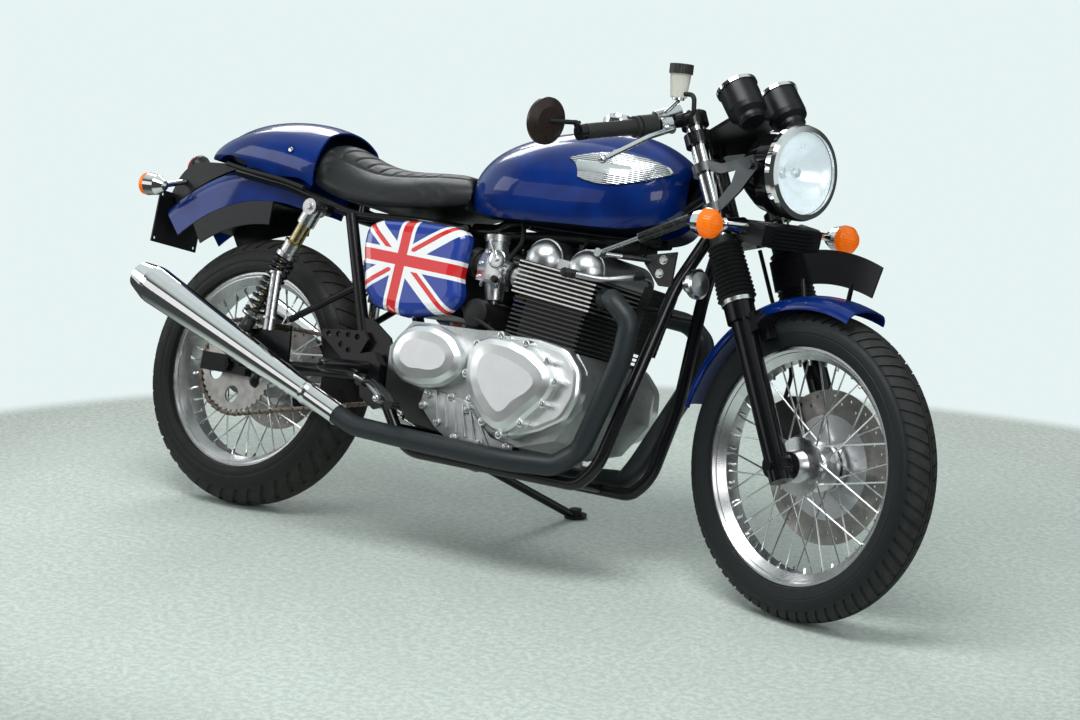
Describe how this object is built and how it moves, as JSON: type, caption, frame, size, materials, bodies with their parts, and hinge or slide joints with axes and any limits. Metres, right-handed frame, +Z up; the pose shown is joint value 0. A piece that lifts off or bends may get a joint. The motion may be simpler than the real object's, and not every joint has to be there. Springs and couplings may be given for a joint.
{
  "type": "motorcycle",
  "caption": "Cafe racer motorcycle leaning on its side stand, with clip-on bars, a humped single seat, a finned parallel-twin engine, wire wheels and megaphone silencers",
  "frame": {"origin": "on the floor under the middle of the bike's bounding box", "axes": "+X points to the front of the bike, +Y to the rider's left, +Z up; the bike leans towards +Y on its side stand"},
  "size_m": [2.1747, 0.8396, 1.113],
  "materials": {
    "amber_lens": "clear",
    "black_frame": "satin black",
    "black_plastic": "matt",
    "blue_paint": "deep gloss",
    "bottle_plastic": "translucent",
    "cast_alloy": "brushed",
    "chain_steel": "oiled",
    "chrome": "mirror bright",
    "clear_lens": "fluted",
    "disc_steel": "brushed",
    "engine_black": "matt black",
    "exhaust_grey": "matt dark grey",
    "fork_black": "gloss black",
    "panel_paint": "gloss flag pattern",
    "red_lens": "clear",
    "rim_alloy": "satin",
    "rubber": "matt",
    "seat_vinyl": "grained vinyl",
    "shock_alloy": "brushed",
    "spring_black": "gloss black",
    "tyre": "matt"
  },
  "bodies": {
    "chassis": {"main_frame": "black_frame", "swingarm": "black_frame", "shocks": "shock_alloy", "shock_springs": "spring_black", "chain": "chain_steel", "crankcase": "cast_alloy", "cylinder_barrel": "engine_black", "cylinder_head": "engine_black", "cam_covers": "cast_alloy", "engine_covers": "cast_alloy", "carburettors": "cast_alloy", "airbox": "black_plastic", "headers": "exhaust_grey", "mufflers": "chrome", "oil_cooler": "engine_black", "horn": "black_plastic", "damper": "chrome", "oil_lines": "chrome", "fuel_tank": "blue_paint", "tank_trim": "chrome", "seat_pad": "seat_vinyl", "tail_cowl": "blue_paint", "rear_fender": "blue_paint", "inner_fender": "black_plastic", "tail_bracket": "black_plastic", "tail_light": "red_lens", "rear_indicators": "chrome", "rear_lenses": "amber_lens", "side_panels": "panel_paint", "rear_sets": "black_frame"},
    "steering": {"fork_legs": "fork_black", "fork_tubes": "chrome", "fork_gaiters": "rubber", "yokes": "black_frame", "headlight_shell": "black_frame", "chrome_rings": "chrome", "headlight_lens": "clear_lens", "headlight_ears": "black_frame", "gauge_cups": "black_plastic", "handlebars": "black_frame", "grips": "rubber", "controls": "cast_alloy", "fluid_bottle": "bottle_plastic", "mirrors": "black_plastic", "front_indicators": "chrome", "front_lenses": "amber_lens", "regulator": "black_plastic", "front_fender": "blue_paint", "number_plate": "black_plastic", "front_caliper": "engine_black", "brake_hoses": "rubber"},
    "front_wheel": {"front_tyre": "tyre", "front_wheel": "rim_alloy", "front_disc": "disc_steel"},
    "rear_wheel": {"rear_tyre": "tyre", "rear_wheel": "rim_alloy", "rear_disc": "disc_steel", "rear_sprocket": "disc_steel"},
    "side_stand": {"side_stand": "black_frame"}
  },
  "joints": [
    {"name": "steering", "type": "hinge", "parent": "chassis", "child": "steering", "pos_m": [0.49315, -0.00658, 0.73079], "axis": [-0.4515, 0.2612, 0.8532], "range_deg": [-14, 46]},
    {"name": "front_wheel_spin", "type": "hinge", "parent": "steering", "child": "front_wheel", "pos_m": [0.77766, -0.15037, 0.31589], "axis": [0.2467, 0.9555, -0.162], "continuous": true},
    {"name": "rear_wheel_spin", "type": "hinge", "parent": "chassis", "child": "rear_wheel", "pos_m": [-0.71032, -0.13478, 0.30837], "axis": [0.0007, 0.9563, -0.2924], "continuous": true},
    {"name": "stand_fold", "type": "hinge", "parent": "chassis", "child": "side_stand", "pos_m": [-0.14993, -0.03195, 0.15707], "axis": [0.017, 0.5578, 0.8298], "range_deg": [0, 115.2]}
  ]
}
